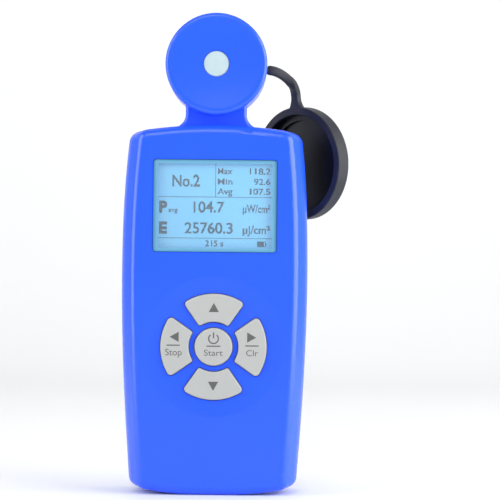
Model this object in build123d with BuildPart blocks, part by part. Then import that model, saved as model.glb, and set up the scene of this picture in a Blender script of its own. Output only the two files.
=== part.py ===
from build123d import *
from math import cos, radians, sin
import os

os.makedirs("parts", exist_ok=True)

# Handheld light meter, standing upright.  Millimetres, +Z along its length,
# its face looks along -Y, origin at the middle of the small flat it stands on.

# ---------------------------------------------------------------- case
HALF_WIDTH = 32.0              # at the widest place
WIDEST_Z = 85.3
BODY_TOP = 126.4               # crown of the arched top edge
TOP_CORNER = (29.6, 123.7)
BOTTOM_CORNER = (28.8, 3.0)
SIDE_TANGENTS = [(0.076, 1), (-0.125, 1)]
FOOT_HALF = 6.0                # half width of the flat under the arched bottom edge
TOP_RADIUS = 4.0
BOTTOM_RADIUS = 3.4
FRONT_Y = -13.5
REAR_Y = 13.5
FRONT_END_Y = 0.8              # the front shell ends here
REAR_START_Y = 1.0             # and the rear shell starts here
WALL = 2.2
STRIP_WIDTH = 4.1              # swept-back strip beside the face, seen from the front
STRIP_DEPTH = 7.5
STRIP_ROUND = 12.0
FACE_ROUND = 2.8
REAR_ROUND = 5.5
REBATE = 1.0                   # the front shell's rim is this thick round the tongue
TONGUE = (1.1, 2.1)            # the rear shell's tongue, measured in from the outside
TONGUE_Y = -0.3                # front end of the tongue
REBATE_Y = -0.5                # bottom of the rebate it stands in

# ---------------------------------------------------------------- sensor head
HEAD_Z = 147.2
HEAD_R = 17.4
HEAD_WALL = 2.2
HEAD_FRONT_Y = -14.0
HEAD_REAR_Y = 8.0
HEAD_ROUND = 1.3
HEAD_REAR_ROUND = 1.2
DISH_R = 15.3
DISH_DEPTH = 0.9
NECK_HALF = 10.5
NECK_FRONT_Y = -7.0
NECK_REAR_Y = 7.5
NECK_FOOT_CORNER = 4.6         # where the neck spreads into the case
NECK_HEAD_CORNER = 3.0         # and into the head
NECK_EDGE_ROUND = 1.2
NECK_WALL = 2.0
HEAD_POST_Y = (HEAD_FRONT_Y + 2.5, -1.5)   # posts that carry the sensor board

# ---------------------------------------------------------------- sensor stack, front to rear
DIFFUSER_R = 4.4
DIFFUSER_GAP = 0.1
DIFFUSER_FRONT_Y = HEAD_FRONT_Y + 1.1
DIFFUSER_FOOT_R = 6.0
DIFFUSER_FOOT_Y = (-10.9, -10.1)
HOLDER_R, HOLDER_BORE = 8.0, 5.0
HOLDER_Y = (-10.0, -1.6)
FILTER_Y = (-9.9, -7.9)
CAN_R, CAN_RIM_R = 4.1, 4.6
CAN_Y = (-7.2, -3.6)
CAN_RIM_END_Y = -3.0
CAN_WINDOW_R, CAN_WINDOW_DEPTH = 2.6, 0.4
PIN_X, PIN_R, PIN_END_Y = 1.8, 0.25, -1.45
SENSOR_BOARD_R = 14.4
SENSOR_BOARD_Y = (-1.4, 0.2)

# ---------------------------------------------------------------- display
LCD_Z = 98.7
WINDOW_W, WINDOW_H = 42.3, 31.6
WINDOW_T = 1.0
WINDOW_Y = FRONT_Y + 0.55      # front surface of the window, below the face
ACTIVE_W, ACTIVE_H = 39.4, 29.4
FRAME_W, FRAME_H = 45.0, 37.4
GLASS_W, GLASS_H = 42.0, 34.4
GLASS_T = 1.8
FRAME_GAP = 0.2                # between the glass and its frame
STRIP_H = 1.9                  # height of the rubber strip that feeds the display

# ---------------------------------------------------------------- keys
KEYS_Z = 50.7
KEY_OUTER_R = 18.1
KEY_INNER_R = 8.5
KEY_HALF_ANGLE = 35.0
POWER_R = 6.45
KEY_TOP_Y = FRONT_Y - 0.7
KEY_GAP = 0.25
KEY_ROUND = 0.45
PAD_R = 24.0                   # rim of the shallow dish round the keys
PAD_DEPTH = 0.6
PAD_SPHERE_R = (PAD_R ** 2 + PAD_DEPTH ** 2) / (2 * PAD_DEPTH)
KEY_MIDDLE_R = 12.8            # from the ring's middle to the stem of an arrow key
STEM_R = 1.5
KEY_FLANGE = 0.7
FLANGE_Y = (-11.2, -10.4)
STEM_END_Y = -9.7              # the keys travel 0.5 mm, to 0.1 mm off the rubber domes
MAT_R = 20.4
MAT_Y = (-8.6, -7.8)
DOME_R, DOME_H = 3.1, 0.5
PLUNGER_R, PLUNGER_END_Y = 1.6, -7.2
CONTACT_R, CONTACT_H = 2.5, 0.4

# ---------------------------------------------------------------- inside
INNER_FRONT_Y = FRONT_Y + WALL
INNER_REAR_Y = REAR_Y - WALL
BOARD_FRONT_Y = -5.7
BOARD_T = 1.6
BOARD_REAR_Y = BOARD_FRONT_Y + BOARD_T
BOARD_HALF = 25.8
BOARD_Z = (14.0, 119.0)
CASE_SCREWS = [(-25.2, 119.8), (25.2, 119.8), (-24.2, 9.6), (24.2, 9.6)]
BOARD_SCREWS = [(-24.0, 76.0), (24.0, 76.0), (-23.0, 26.0), (23.0, 26.0)]
HEAD_SCREWS = [(-11.5, HEAD_Z), (11.5, HEAD_Z)]
CASE_BOSS_R = 2.6
CASE_BOSS_FRONT_Y = -9.0
REAR_BOSS_R = 3.1
COUNTERBORE_R, COUNTERBORE_Y = 2.4, 8.0
BOARD_POST_R = 2.2
CLEARANCE_R = 1.1              # holes the small screws pass through
PILOT_R = 0.85                 # holes they cut their thread in
SKIN = 0.05                    # air between two pieces of one stack that touch
CHIP_T, CHIP_STANDOFF = 1.4, 0.15
PIN_REACH, PIN_T = 1.1, 0.35
RIBBON_W, RIBBON_T = 6.0, 0.7

# ---------------------------------------------------------------- battery bay and door
CELL_R = 5.2
CELL_LENGTH = 44.0
CELL_BOTTOM = 20.7
CELL_Y = 5.4
CELL_XS = [-16.5, -5.5, 5.5, 16.5]
BAY_HALF = 22.4
BAY_Z = (17.4, 66.8)
BAY_FLOOR_Y = (-1.6, -0.4)
BAY_WALL = 2.8
NUB_R, NUB_H = 1.9, 0.8
COIL_R, WIRE_R, COIL_PITCH = 2.7, 0.22, 0.9
LOW_COIL_H, HIGH_COIL_H = 1.9, 0.95
CONTACT_W, CONTACT_D = 8.4, 8.0
SPRING_PLATE_T, CONTACT_PLATE_T = 0.4, 0.5
DOOR_HALF = 23.6
DOOR_Z = (14.0, 71.0)
DOOR_GAP = 0.25
DOOR_T = 2.0
HOOK_XS = [-12.0, 12.0]
HOOK_W = 5.0
HOOK_Y = (9.3, 10.6)
HOOK_REACH = 1.8               # how far the hooks reach in under the shell
GRIP_PITCH, GRIP_COUNT = 2.4, 4
GRIP_L, GRIP_W, GRIP_DEPTH = 16.0, 1.1, 0.6

# ---------------------------------------------------------------- sensor cap on its strap
CAP_CENTRE = Vector(28.3, 15.6, 114.6)       # middle of the cap's mouth
CAP_FACING = Vector(-0.69, -0.72, -0.053).normalized()
CAP_UP = Vector(-0.076, 0, 0.997)
CAP_R = 20.0
CAP_BORE_R = 17.4
CAP_STEP_R = 15.4
CAP_DEPTH = 5.8
CAP_BACK_ROUND, CAP_LIP_ROUND = 1.2, 0.35
CAP_BORE_DEPTH = 3.2
CAP_STEP_DEPTH = 4.6
FOOT_BACK = 2.0                # the strap's foot stands this far behind the cap's lip
FOOT_RISE = 2.2                # from the cap's rim to the place where the strap bends
FOOT_W, FOOT_TOP_W = 5.6, 3.2
FOOT_T = 2.0
PLUG_Y, PLUG_Z = 4.0, 146.6
PLUG_R = 1.45
PLUG_HOLE_R = 1.5
PLUG_BARB_R = 2.0
PLUG_XS = (12.9, 14.5, 17.55)  # tip of the plug, end of its barb, outside of the head
STRAP_R = 1.6
STRAP_GAP = 0.35               # from the foot's round end to the strap's end
STRAP_MIDDLE = (24.9, 9.2, 143.8)



def at_y(y):
    """Plane facing the front at depth y: local x is right, local y is up."""
    return Plane.XZ.offset(-y)


def finish(builder, name):
    """Label a finished piece and write it."""
    builder.part.label = name
    export_step(builder.part, f"parts/{name}.step")


def slab(sketch, y_front, y_rear, mode=Mode.ADD):
    """Extrude a front-view sketch between two depths, inside the current part."""
    with BuildSketch(at_y(y_rear)) as profile:
        add(sketch)
    extrude(profile.sketch, amount=y_rear - y_front, mode=mode)


def pegs(places, radius, y_front, y_rear, mode=Mode.ADD):
    """Round posts or holes along Y at front-view places, inside the current part."""
    with BuildSketch(at_y(y_rear)) as profile:
        with Locations(places):
            Circle(radius)
    extrude(profile.sketch, amount=y_rear - y_front, mode=mode)


def block(width, z_low, z_high, y_front, y_rear, mode=Mode.ADD, x=0, corner=0):
    """Upright block centred on x between two heights and two depths, in the current part."""
    with BuildSketch(at_y(y_rear)) as profile:
        with Locations((x, (z_low + z_high) / 2)):
            if corner:
                RectangleRounded(width, z_high - z_low, corner)
            else:
                Rectangle(width, z_high - z_low)
    extrude(profile.sketch, amount=y_rear - y_front, mode=mode)


# ================================================================ front-view outlines
def case_outline(inset=0.0, top_radius=0.0, bottom_radius=0.0):
    """The case seen from the front, drawn in by inset, its corners sharp or rounded."""
    low = (BOTTOM_CORNER[0] - inset, BOTTOM_CORNER[1] + inset)
    high = (TOP_CORNER[0] - inset, TOP_CORNER[1] - inset)
    with BuildSketch() as shape:
        with BuildLine():
            Line((0, inset), (FOOT_HALF, inset))
            TangentArc((FOOT_HALF, inset), low, tangent=(1, 0))
            Spline(low, (HALF_WIDTH - inset, WIDEST_Z), high, tangents=SIDE_TANGENTS)
            TangentArc((0, BODY_TOP - inset), high, tangent=(1, 0))
            mirror(about=Plane.YZ)
        make_face()
        if top_radius:
            fillet(shape.vertices().filter_by(lambda v: abs(v.X) > 22 and v.Y > WIDEST_Z),
                   radius=top_radius)
        if bottom_radius:
            fillet(shape.vertices().filter_by(lambda v: abs(v.X) > 22 and v.Y < WIDEST_Z),
                   radius=bottom_radius)
    return shape.sketch


sharp_outline = case_outline()
outline = case_outline(0.0, TOP_RADIUS, BOTTOM_RADIUS)


def inset_outline(inset):
    """The case's rounded outline, drawn in by the given amount."""
    return case_outline(inset, TOP_RADIUS - inset, BOTTOM_RADIUS - inset)


def is_notch(vertex, low, high):
    """True for the neck's two inner corners between two heights."""
    return abs(abs(vertex.X) - NECK_HALF) < 0.01 and low < vertex.Y < high


with BuildSketch() as neck_outline:
    with Locations((0, BODY_TOP - 6)):
        Rectangle(2 * NECK_HALF + 20, 14)
    add(outline, mode=Mode.INTERSECT)
    with Locations((0, (BODY_TOP + HEAD_Z) / 2 - 2)):
        Rectangle(2 * NECK_HALF, HEAD_Z - BODY_TOP)
    with Locations((0, HEAD_Z)):
        Circle(HEAD_R - 0.4)
    fillet(neck_outline.vertices().filter_by(lambda v: is_notch(v, BODY_TOP - 2, BODY_TOP + 2)),
           radius=NECK_FOOT_CORNER)
    fillet(neck_outline.vertices().filter_by(lambda v: is_notch(v, BODY_TOP + 2, HEAD_Z)),
           radius=NECK_HEAD_CORNER)
    with Locations((0, (BODY_TOP + HEAD_Z) / 2 - 5)):
        Rectangle(4 * NECK_HALF, HEAD_Z - BODY_TOP - 2, mode=Mode.INTERSECT)

with BuildSketch() as neck_hollow:
    with Locations((0, (BODY_TOP + HEAD_Z) / 2 - 3)):
        Rectangle(2 * NECK_HALF - 5, HEAD_Z - BODY_TOP + 2)

with BuildSketch() as window_outline:
    with Locations((0, LCD_Z)):
        RectangleRounded(WINDOW_W, WINDOW_H, 1.2)

with BuildSketch() as power_outline:
    with Locations((0, KEYS_Z)):
        Circle(POWER_R)


def arrow_outline(turn):
    """One curved key of the ring, its middle at the given angle from +X."""
    reach = 2 * KEY_OUTER_R
    with BuildSketch() as shape:
        Circle(KEY_OUTER_R)
        Circle(KEY_INNER_R, mode=Mode.SUBTRACT)
        with BuildLine():
            Polyline(
                (0, 0),
                (reach * cos(radians(KEY_HALF_ANGLE)), reach * sin(radians(KEY_HALF_ANGLE))),
                (reach * cos(radians(KEY_HALF_ANGLE)), -reach * sin(radians(KEY_HALF_ANGLE))),
                close=True)
        make_face(mode=Mode.INTERSECT)
        tips = shape.vertices().group_by(SortBy.DISTANCE)
        fillet(tips[-1], radius=1.4)
        fillet(shape.vertices().group_by(SortBy.DISTANCE)[0], radius=0.8)
    return Pos(0, KEYS_Z) * Rot(0, 0, turn) * shape.sketch


KEYS = {
    "key_right": arrow_outline(0),
    "key_up": arrow_outline(90),
    "key_left": arrow_outline(180),
    "key_down": arrow_outline(270),
    "key_power": power_outline.sketch,
}


def grown(sketch, amount):
    """A sketch drawn out by the given amount."""
    with BuildSketch() as shape:
        add(sketch)
        offset(amount=amount, kind=Kind.ARC)
    return shape.sketch


def is_neck_side(edge):
    """True for the edges down the neck's two waisted sides."""
    middle = edge.center()
    return 9 < abs(middle.X) < 16 and BODY_TOP - 1 < middle.Z < HEAD_Z - 12


# ================================================================ front housing
with BuildPart() as front_neck:
    slab(neck_outline.sketch, NECK_FRONT_Y, FRONT_END_Y)
    fillet(front_neck.faces().sort_by(Axis.Y)[0].edges().filter_by(is_neck_side),
           radius=NECK_EDGE_ROUND)

with BuildPart() as front_head:
    pegs([(0, HEAD_Z)], HEAD_R, HEAD_FRONT_Y, FRONT_END_Y)
    fillet(front_head.faces().sort_by(Axis.Y)[0].edges(), radius=HEAD_ROUND)
    with BuildSketch(Plane.YZ) as dish:
        with BuildLine():
            Polyline((HEAD_FRONT_Y + DISH_DEPTH, HEAD_Z), (HEAD_FRONT_Y - 2, HEAD_Z),
                     (HEAD_FRONT_Y - 2, HEAD_Z + DISH_R), (HEAD_FRONT_Y, HEAD_Z + DISH_R))
            TangentArc((HEAD_FRONT_Y + DISH_DEPTH, HEAD_Z), (HEAD_FRONT_Y, HEAD_Z + DISH_R),
                       tangent=(0, 1))
        make_face()
    revolve(dish.sketch, axis=Axis((0, 0, HEAD_Z), (0, 1, 0)), mode=Mode.SUBTRACT)

with BuildPart() as front_core:
    slab(case_outline(WALL), INNER_FRONT_Y, FRONT_END_Y + 1)
    core_face = front_core.faces().sort_by(Axis.Y)[0]
    core_sides = core_face.edges().filter_by(lambda e: e.length > 100)
    chamfer(core_sides, length=3.6, length2=5.6, reference=core_face)
    core_corners = front_core.edges().filter_by(
        lambda e: abs(e.center().X) > 22 and e.length < 9)
    fillet(core_corners, radius=2.5)

with BuildPart() as front_housing:
    slab(sharp_outline, FRONT_Y, FRONT_END_Y)
    face = front_housing.faces().sort_by(Axis.Y)[0]
    face_sides = face.edges().filter_by(lambda e: e.length > 100)
    chamfer(face_sides, length=STRIP_WIDTH, length2=STRIP_DEPTH, reference=face)
    strip_edges = front_housing.edges().filter_by(
        lambda e: e.length > 100 and abs(e.center().Y - FRONT_Y - STRIP_DEPTH) < 0.3)
    fillet(strip_edges, radius=STRIP_ROUND)
    corner_edges = front_housing.edges().filter_by(
        lambda e: abs(e.center().X) > 24 and e.length < 9)
    fillet(corner_edges.filter_by(lambda e: e.center().Z > WIDEST_Z), radius=TOP_RADIUS)
    fillet(corner_edges.filter_by(lambda e: e.center().Z < WIDEST_Z), radius=BOTTOM_RADIUS)
    fillet(front_housing.faces().sort_by(Axis.Y)[0].edges(), radius=FACE_ROUND)

    add(front_neck.part)
    add(front_head.part)

    add(front_core.part, mode=Mode.SUBTRACT)
    slab(inset_outline(REBATE), REBATE_Y, FRONT_END_Y + 1, mode=Mode.SUBTRACT)
    slab(neck_hollow.sketch, NECK_FRONT_Y + NECK_WALL, FRONT_END_Y + 1, mode=Mode.SUBTRACT)
    pegs([(0, HEAD_Z)], HEAD_R - HEAD_WALL, HEAD_FRONT_Y + 3, FRONT_END_Y + 1,
         mode=Mode.SUBTRACT)

    pegs(CASE_SCREWS, CASE_BOSS_R, CASE_BOSS_FRONT_Y, REBATE_Y)
    pegs(BOARD_SCREWS, BOARD_POST_R, INNER_FRONT_Y - 0.5, BOARD_FRONT_Y - SKIN)
    pegs(HEAD_SCREWS, BOARD_POST_R, *HEAD_POST_Y)

    pegs(CASE_SCREWS, 1.0, CASE_BOSS_FRONT_Y + 0.5, REBATE_Y, mode=Mode.SUBTRACT)
    pegs(BOARD_SCREWS, PILOT_R, BOARD_FRONT_Y - 4.8, BOARD_FRONT_Y, mode=Mode.SUBTRACT)
    pegs(HEAD_SCREWS, PILOT_R, HEAD_POST_Y[1] - 5.5, HEAD_POST_Y[1], mode=Mode.SUBTRACT)
    pegs([(0, HEAD_Z)], DIFFUSER_R + DIFFUSER_GAP, HEAD_FRONT_Y, HEAD_FRONT_Y + 4,
         mode=Mode.SUBTRACT)
    slab(grown(window_outline.sketch, 0.1), FRONT_Y - 1, WINDOW_Y + WINDOW_T,
         mode=Mode.SUBTRACT)
    block(ACTIVE_W, LCD_Z - ACTIVE_H / 2, LCD_Z + ACTIVE_H / 2, FRONT_Y, INNER_FRONT_Y + 1,
          mode=Mode.SUBTRACT, corner=0.6)
    with Locations((0, FRONT_Y + PAD_DEPTH - PAD_SPHERE_R, KEYS_Z)):
        Sphere(PAD_SPHERE_R, mode=Mode.SUBTRACT)
    for key_sketch in KEYS.values():
        slab(grown(key_sketch, KEY_GAP), FRONT_Y - 1, INNER_FRONT_Y + 1, mode=Mode.SUBTRACT)
finish(front_housing, "front_housing")

# ================================================================ rear housing
TRAY_HALF = BAY_HALF + BAY_WALL

with BuildPart() as rear_neck:
    slab(neck_outline.sketch, REAR_START_Y, NECK_REAR_Y)
    fillet(rear_neck.faces().sort_by(Axis.Y)[-1].edges().filter_by(is_neck_side),
           radius=NECK_EDGE_ROUND)

with BuildPart() as rear_head:
    pegs([(0, HEAD_Z)], HEAD_R, REAR_START_Y, HEAD_REAR_Y)
    fillet(rear_head.faces().sort_by(Axis.Y)[-1].edges(), radius=HEAD_REAR_ROUND)

with BuildPart() as rear_core:
    slab(case_outline(WALL), REAR_START_Y - 1, INNER_REAR_Y)
    fillet(rear_core.edges().filter_by(lambda e: abs(e.center().X) > 24 and e.length < 15),
           radius=4.0)
    fillet(rear_core.faces().sort_by(Axis.Y)[-1].edges(), radius=3.0)

with BuildPart() as tongue:
    slab(inset_outline(TONGUE[0]), TONGUE_Y, REAR_START_Y + 0.5)
    slab(inset_outline(TONGUE[1]), TONGUE_Y - 1, REAR_START_Y + 1, mode=Mode.SUBTRACT)

with BuildPart() as rear_housing:
    slab(outline, REAR_START_Y, REAR_Y)
    fillet(rear_housing.faces().sort_by(Axis.Y)[-1].edges(), radius=REAR_ROUND)
    add(rear_core.part, mode=Mode.SUBTRACT)
    add(tongue.part)
    add(rear_neck.part)
    add(rear_head.part)
    slab(neck_hollow.sketch, TONGUE_Y - 1, NECK_REAR_Y - NECK_WALL, mode=Mode.SUBTRACT)
    pegs([(0, HEAD_Z)], HEAD_R - HEAD_WALL, REAR_START_Y - 1, HEAD_REAR_Y - 2,
         mode=Mode.SUBTRACT)

    pegs(CASE_SCREWS, REAR_BOSS_R, REBATE_Y + 0.1, INNER_REAR_Y - 1)
    block(2 * TRAY_HALF, BAY_Z[0] - 4.4, BAY_Z[1] + 1.6, BAY_FLOOR_Y[0], INNER_REAR_Y)
    block(2 * BAY_HALF, *BAY_Z, BAY_FLOOR_Y[1], INNER_REAR_Y, mode=Mode.SUBTRACT)
    block(2 * (DOOR_HALF + DOOR_GAP), DOOR_Z[0] - DOOR_GAP, DOOR_Z[1] + DOOR_GAP,
          REAR_Y - DOOR_T - 0.2, REAR_Y + 1, mode=Mode.SUBTRACT, corner=1.2)
    for hook_x in HOOK_XS:
        block(HOOK_W + 1, DOOR_Z[0] - 3.0, BAY_Z[0] + 0.5, 8.0, INNER_REAR_Y,
              mode=Mode.SUBTRACT, x=hook_x)

    pegs(CASE_SCREWS, COUNTERBORE_R, COUNTERBORE_Y, REAR_Y + 1, mode=Mode.SUBTRACT)
    pegs(CASE_SCREWS, 1.2, REBATE_Y, COUNTERBORE_Y, mode=Mode.SUBTRACT)
    with BuildSketch(Plane.YZ.offset(HEAD_R - HEAD_WALL - 1)):
        with Locations((PLUG_Y, PLUG_Z)):
            Circle(PLUG_HOLE_R)
    extrude(amount=HEAD_WALL + 2, mode=Mode.SUBTRACT)
finish(rear_housing, "rear_housing")

# ================================================================ sensor stack in the head
with BuildPart() as diffuser:
    pegs([(0, HEAD_Z)], DIFFUSER_R, DIFFUSER_FRONT_Y, DIFFUSER_FOOT_Y[0])
    pegs([(0, HEAD_Z)], DIFFUSER_FOOT_R, *DIFFUSER_FOOT_Y)
    fillet(diffuser.faces().sort_by(Axis.Y)[0].edges(), radius=0.3)
finish(diffuser, "diffuser")

with BuildPart() as sensor_holder:
    pegs([(0, HEAD_Z)], HOLDER_R, *HOLDER_Y)
    pegs([(0, HEAD_Z)], HOLDER_BORE, *HOLDER_Y, mode=Mode.SUBTRACT)
finish(sensor_holder, "sensor_holder")

with BuildPart() as optical_filter:
    pegs([(0, HEAD_Z)], HOLDER_BORE - 0.1, *FILTER_Y)
finish(optical_filter, "optical_filter")

with BuildPart() as photodiode:
    pegs([(0, HEAD_Z)], CAN_R, *CAN_Y)
    pegs([(0, HEAD_Z)], CAN_RIM_R, CAN_Y[1], CAN_RIM_END_Y)
    pegs([(0, HEAD_Z)], CAN_WINDOW_R, CAN_Y[0], CAN_Y[0] + CAN_WINDOW_DEPTH,
         mode=Mode.SUBTRACT)
    pegs([(-PIN_X, HEAD_Z), (PIN_X, HEAD_Z)], PIN_R, CAN_RIM_END_Y, PIN_END_Y)
finish(photodiode, "photodiode")

with BuildPart() as sensor_board:
    pegs([(0, HEAD_Z)], SENSOR_BOARD_R, *SENSOR_BOARD_Y)
    pegs(HEAD_SCREWS, CLEARANCE_R, *SENSOR_BOARD_Y, mode=Mode.SUBTRACT)
finish(sensor_board, "sensor_board")


def pan_screw(places, head_r, head_h, seat_y, shank_r, tip_y):
    """Cross-recessed screws driven from the rear, one solid at each place."""
    with BuildPart() as screws:
        pegs(places, head_r, seat_y, seat_y + head_h)
        fillet(screws.faces().sort_by(Axis.Y)[-len(places):].edges(), radius=head_h * 0.35)
        pegs(places, shank_r, tip_y, seat_y)
        with BuildSketch(at_y(seat_y + head_h)):
            with Locations(places):
                Rectangle(head_r * 1.3, head_r * 0.26)
                Rectangle(head_r * 0.26, head_r * 1.3)
        extrude(amount=head_h * 0.6, mode=Mode.SUBTRACT)
    return screws


finish(pan_screw(HEAD_SCREWS, 1.8, 1.3, SENSOR_BOARD_Y[1] + SKIN, 0.8, -6.0),
       "sensor_board_screws")
finish(pan_screw(BOARD_SCREWS, 1.8, 1.3, BOARD_REAR_Y + SKIN, 0.8, -10.0), "main_board_screws")
finish(pan_screw(CASE_SCREWS, 2.1, 1.7, COUNTERBORE_Y + SKIN, 0.95, -8.0), "case_screws")

# ================================================================ display stack
with BuildPart() as lcd_window:
    slab(window_outline.sketch, WINDOW_Y, WINDOW_Y + WINDOW_T - 0.02)
    chamfer(lcd_window.faces().sort_by(Axis.Y)[0].edges(), length=0.15)
finish(lcd_window, "lcd_window")

LCD_FRONT_Y = INNER_FRONT_Y + 0.1
LCD_REAR_Y = LCD_FRONT_Y + GLASS_T
LCD_LOW_Z = LCD_Z - GLASS_H / 2
LCD_HIGH_Z = LCD_Z + GLASS_H / 2

with BuildPart() as lcd_frame:
    block(FRAME_W, LCD_Z - FRAME_H / 2, LCD_Z + FRAME_H / 2, LCD_FRONT_Y, BOARD_FRONT_Y - SKIN,
          corner=1.0)
    block(GLASS_W + 2 * FRAME_GAP, LCD_LOW_Z - FRAME_GAP, LCD_HIGH_Z + FRAME_GAP, LCD_FRONT_Y,
          BOARD_FRONT_Y, mode=Mode.SUBTRACT)
finish(lcd_frame, "lcd_frame")

with BuildPart() as lcd_glass:
    block(GLASS_W, LCD_LOW_Z, LCD_HIGH_Z, LCD_FRONT_Y, LCD_REAR_Y)
finish(lcd_glass, "lcd_glass")

with BuildPart() as lcd_backlight:
    block(GLASS_W - 2 * FRAME_GAP, LCD_LOW_Z + STRIP_H + 0.7, LCD_HIGH_Z - FRAME_GAP,
          LCD_REAR_Y + 0.1, BOARD_FRONT_Y - 0.2)
finish(lcd_backlight, "lcd_backlight")

with BuildPart() as lcd_connector:
    block(GLASS_W - 4, LCD_LOW_Z + 0.3, LCD_LOW_Z + 0.3 + STRIP_H, LCD_REAR_Y + SKIN,
          BOARD_FRONT_Y - SKIN)
finish(lcd_connector, "lcd_connector")

# ================================================================ keys
KEY_PLACES = {
    "key_right": (KEY_MIDDLE_R, KEYS_Z),
    "key_up": (0, KEYS_Z + KEY_MIDDLE_R),
    "key_left": (-KEY_MIDDLE_R, KEYS_Z),
    "key_down": (0, KEYS_Z - KEY_MIDDLE_R),
    "key_power": (0, KEYS_Z),
}

for key_name, key_sketch in KEYS.items():
    with BuildPart() as key:
        slab(key_sketch, KEY_TOP_Y, FLANGE_Y[0])
        fillet(key.faces().sort_by(Axis.Y)[0].edges(), radius=KEY_ROUND)
        slab(grown(key_sketch, KEY_FLANGE), *FLANGE_Y)
        pegs([KEY_PLACES[key_name]], STEM_R, FLANGE_Y[1], STEM_END_Y)
    finish(key, key_name)

with BuildPart() as keypad_rubber:
    pegs([(0, KEYS_Z)], MAT_R, *MAT_Y)
    for place in KEY_PLACES.values():
        with BuildSketch(at_y(MAT_Y[0])):
            with Locations(place):
                Circle(DOME_R)
        extrude(amount=DOME_H, taper=20)
    pegs(list(KEY_PLACES.values()), PLUNGER_R, MAT_Y[1], PLUNGER_END_Y)
finish(keypad_rubber, "keypad_rubber")

with BuildPart() as dome_switches:
    for place in KEY_PLACES.values():
        with BuildSketch(at_y(BOARD_FRONT_Y - SKIN)):
            with Locations(place):
                Circle(CONTACT_R)
        extrude(amount=CONTACT_H, taper=40)
finish(dome_switches, "dome_switches")

# ================================================================ main board
with BuildPart() as main_board:
    block(2 * BOARD_HALF, *BOARD_Z, BOARD_FRONT_Y, BOARD_REAR_Y, corner=2)
    pegs(CASE_SCREWS, CASE_BOSS_R + 0.5, BOARD_FRONT_Y, BOARD_REAR_Y, mode=Mode.SUBTRACT)
    pegs(BOARD_SCREWS, CLEARANCE_R, BOARD_FRONT_Y, BOARD_REAR_Y, mode=Mode.SUBTRACT)
finish(main_board, "main_board")


def chip(name, z, width, height, pin_count, pin_pitch):
    """A flat chip on the rear of the main board with a row of pins on each side."""
    with BuildPart() as body:
        block(width, z - height / 2, z + height / 2, BOARD_REAR_Y + CHIP_STANDOFF,
              BOARD_REAR_Y + CHIP_STANDOFF + CHIP_T)
        with BuildSketch(at_y(BOARD_REAR_Y + SKIN + PIN_T)):
            with Locations((0, z)):
                with GridLocations(0, pin_pitch, 1, pin_count):
                    Rectangle(width + 2 * PIN_REACH, pin_pitch * 0.45)
        extrude(amount=PIN_T)
    finish(body, name)


chip("processor", 98.0, 10.0, 10.0, 12, 0.8)
chip("amplifier_chip", 113.0, 4.0, 5.0, 4, 1.27)

with BuildPart() as sensor_cable:
    with BuildSketch(Plane.YZ):
        with BuildLine():
            FilletPolyline((0.6, 138.5), (0.6, 131.0), (-3.6, 125.0), (-3.6, 117.0), radius=2.5)
        trace(line_width=RIBBON_T)
    extrude(amount=RIBBON_W / 2, both=True)
finish(sensor_cable, "sensor_cable")

# ================================================================ batteries and contacts
with BuildPart() as battery_cells:
    for index, cell_x in enumerate(CELL_XS):
        nub_up = index % 2 == 0
        nub_z = CELL_BOTTOM + CELL_LENGTH - NUB_H if nub_up else CELL_BOTTOM
        can_z = CELL_BOTTOM if nub_up else CELL_BOTTOM + NUB_H
        with BuildSketch(Plane.XY.offset(can_z)):
            with Locations((cell_x, CELL_Y)):
                Circle(CELL_R)
        extrude(amount=CELL_LENGTH - NUB_H)
        with BuildSketch(Plane.XY.offset(nub_z)):
            with Locations((cell_x, CELL_Y)):
                Circle(NUB_R)
        extrude(amount=NUB_H)
finish(battery_cells, "battery_cells")


def spring_coil(x, z_low, height):
    """One turn-and-a-bit coil spring standing under or over a cell."""
    with BuildPart() as coil:
        with BuildLine() as helix:
            Helix(pitch=COIL_PITCH, height=height, radius=COIL_R, center=(x, CELL_Y, z_low))
        with BuildSketch(Plane(origin=helix.line @ 0, z_dir=helix.line % 0)) as wire:
            Circle(WIRE_R)
        sweep(wire.sketch, path=helix.line)
    return coil.part


with BuildPart() as battery_springs:
    for index, cell_x in enumerate(CELL_XS):
        low = index % 2 == 0
        plate_z = BAY_Z[0] + SKIN if low else BAY_Z[1] - SKIN - SPRING_PLATE_T
        with BuildSketch(Plane.XY.offset(plate_z)):
            with Locations((cell_x, CELL_Y)):
                Rectangle(CONTACT_W, CONTACT_D)
        extrude(amount=SPRING_PLATE_T)
        coil_z = BAY_Z[0] + 0.75 if low else CELL_BOTTOM + CELL_LENGTH + 0.35
        add(spring_coil(cell_x, coil_z, LOW_COIL_H if low else HIGH_COIL_H))
finish(battery_springs, "battery_springs")

with BuildPart() as battery_plates:
    for index, cell_x in enumerate(CELL_XS):
        low = index % 2 == 1
        plate_z = CELL_BOTTOM - 0.1 - CONTACT_PLATE_T if low else CELL_BOTTOM + CELL_LENGTH + 0.1
        with BuildSketch(Plane.XY.offset(plate_z)):
            with Locations((cell_x, CELL_Y)):
                Rectangle(CONTACT_W, CONTACT_D)
        extrude(amount=CONTACT_PLATE_T)
finish(battery_plates, "battery_plates")

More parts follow.
